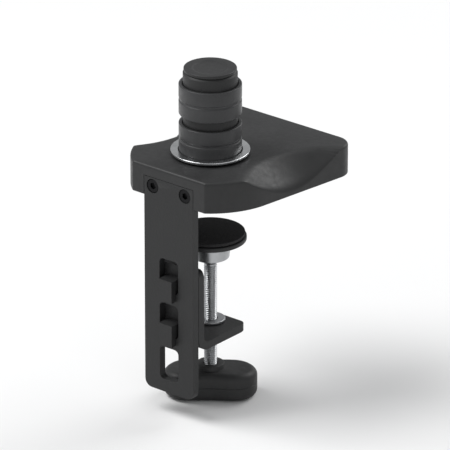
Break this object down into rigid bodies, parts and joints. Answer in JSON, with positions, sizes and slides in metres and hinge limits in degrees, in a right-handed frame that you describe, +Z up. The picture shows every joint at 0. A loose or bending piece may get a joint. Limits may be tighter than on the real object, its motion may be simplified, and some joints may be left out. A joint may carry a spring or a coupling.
{
  "type": "desk clamp mount",
  "caption": "Desk-edge clamp mount: covered base with a round post and bearing sleeves, slotted hanger plate, hook-in jaw, and clamp screw with swivel foot and bar handle.",
  "frame": {"origin": "point on the desk top under the centre of the post", "axes": "+Z up along the post; +Y from the desk's rear edge into the desk; +X to the right seen from behind the desk"},
  "size_m": [0.112, 0.1125, 0.2143],
  "materials": {
    "cover_plastic": "fine moulded texture, satin",
    "handle_plastic": "fine moulded texture",
    "black_steel": "black powder coat",
    "cast_frame": "as cast",
    "bright_steel": "bright turned ring",
    "zinc_steel": "zinc plated",
    "dark_screw": "black oxide",
    "sleeve_plastic": "smooth low-friction plastic",
    "foam_pad": "closed-cell foam"
  },
  "bodies": {
    "base": {"base_cover": "cover_plastic", "base_frame": "cast_frame", "base_pad": "foam_pad", "cover_screw_front_left": "dark_screw", "cover_screw_front_right": "dark_screw", "cover_screw_rear_left": "dark_screw", "cover_screw_rear_right": "dark_screw", "hanger_plate": "black_steel", "hanger_screw_left": "dark_screw", "hanger_screw_right": "dark_screw", "post": "black_steel", "post_cap": "cover_plastic", "post_screw_1": "dark_screw", "post_screw_2": "dark_screw", "post_screw_3": "dark_screw", "post_screw_4": "dark_screw"},
    "swivel": {"slip_washer": "sleeve_plastic", "swivel_ring": "bright_steel", "sleeve_lower": "sleeve_plastic", "sleeve_upper": "sleeve_plastic"},
    "jaw": {"jaw_bracket": "black_steel", "clamp_bush": "zinc_steel"},
    "foot_seat": {"ball_seat": "sleeve_plastic"},
    "clamp_screw": {"clamp_screw": "zinc_steel", "clamp_handle": "handle_plastic", "handle_pin": "zinc_steel", "handle_cap": "handle_plastic"},
    "foot": {"foot_socket": "zinc_steel", "foot_plate": "black_steel", "foot_pad": "foam_pad"}
  },
  "joints": [
    {"name": "arm_swivel", "type": "hinge", "parent": "base", "child": "swivel", "pos_m": [0, 0, 0.03], "axis": [0, 0, 1], "continuous": true},
    {"name": "jaw_lift", "type": "slide", "parent": "base", "child": "jaw", "axis": [0, 0, 1], "range_m": [0, 0.01]},
    {"name": "clamp_travel", "type": "slide", "parent": "jaw", "child": "foot_seat", "axis": [0, 0, 1], "range_m": [-0.0375, 0.0175]},
    {"name": "screw_spin", "type": "hinge", "parent": "foot_seat", "child": "clamp_screw", "pos_m": [0, 0, -0.06], "axis": [0, 0, 1], "range_deg": [-10800, 5040]},
    {"name": "foot_tilt", "type": "hinge", "parent": "foot_seat", "child": "foot", "pos_m": [0, 0, -0.0416], "axis": [1, 0, 0], "range_deg": [-5, 5]}
  ],
  "couplings": [
    {"joint": "clamp_travel", "follows": "screw_spin", "m_per_rad": 0.00019894}
  ]
}
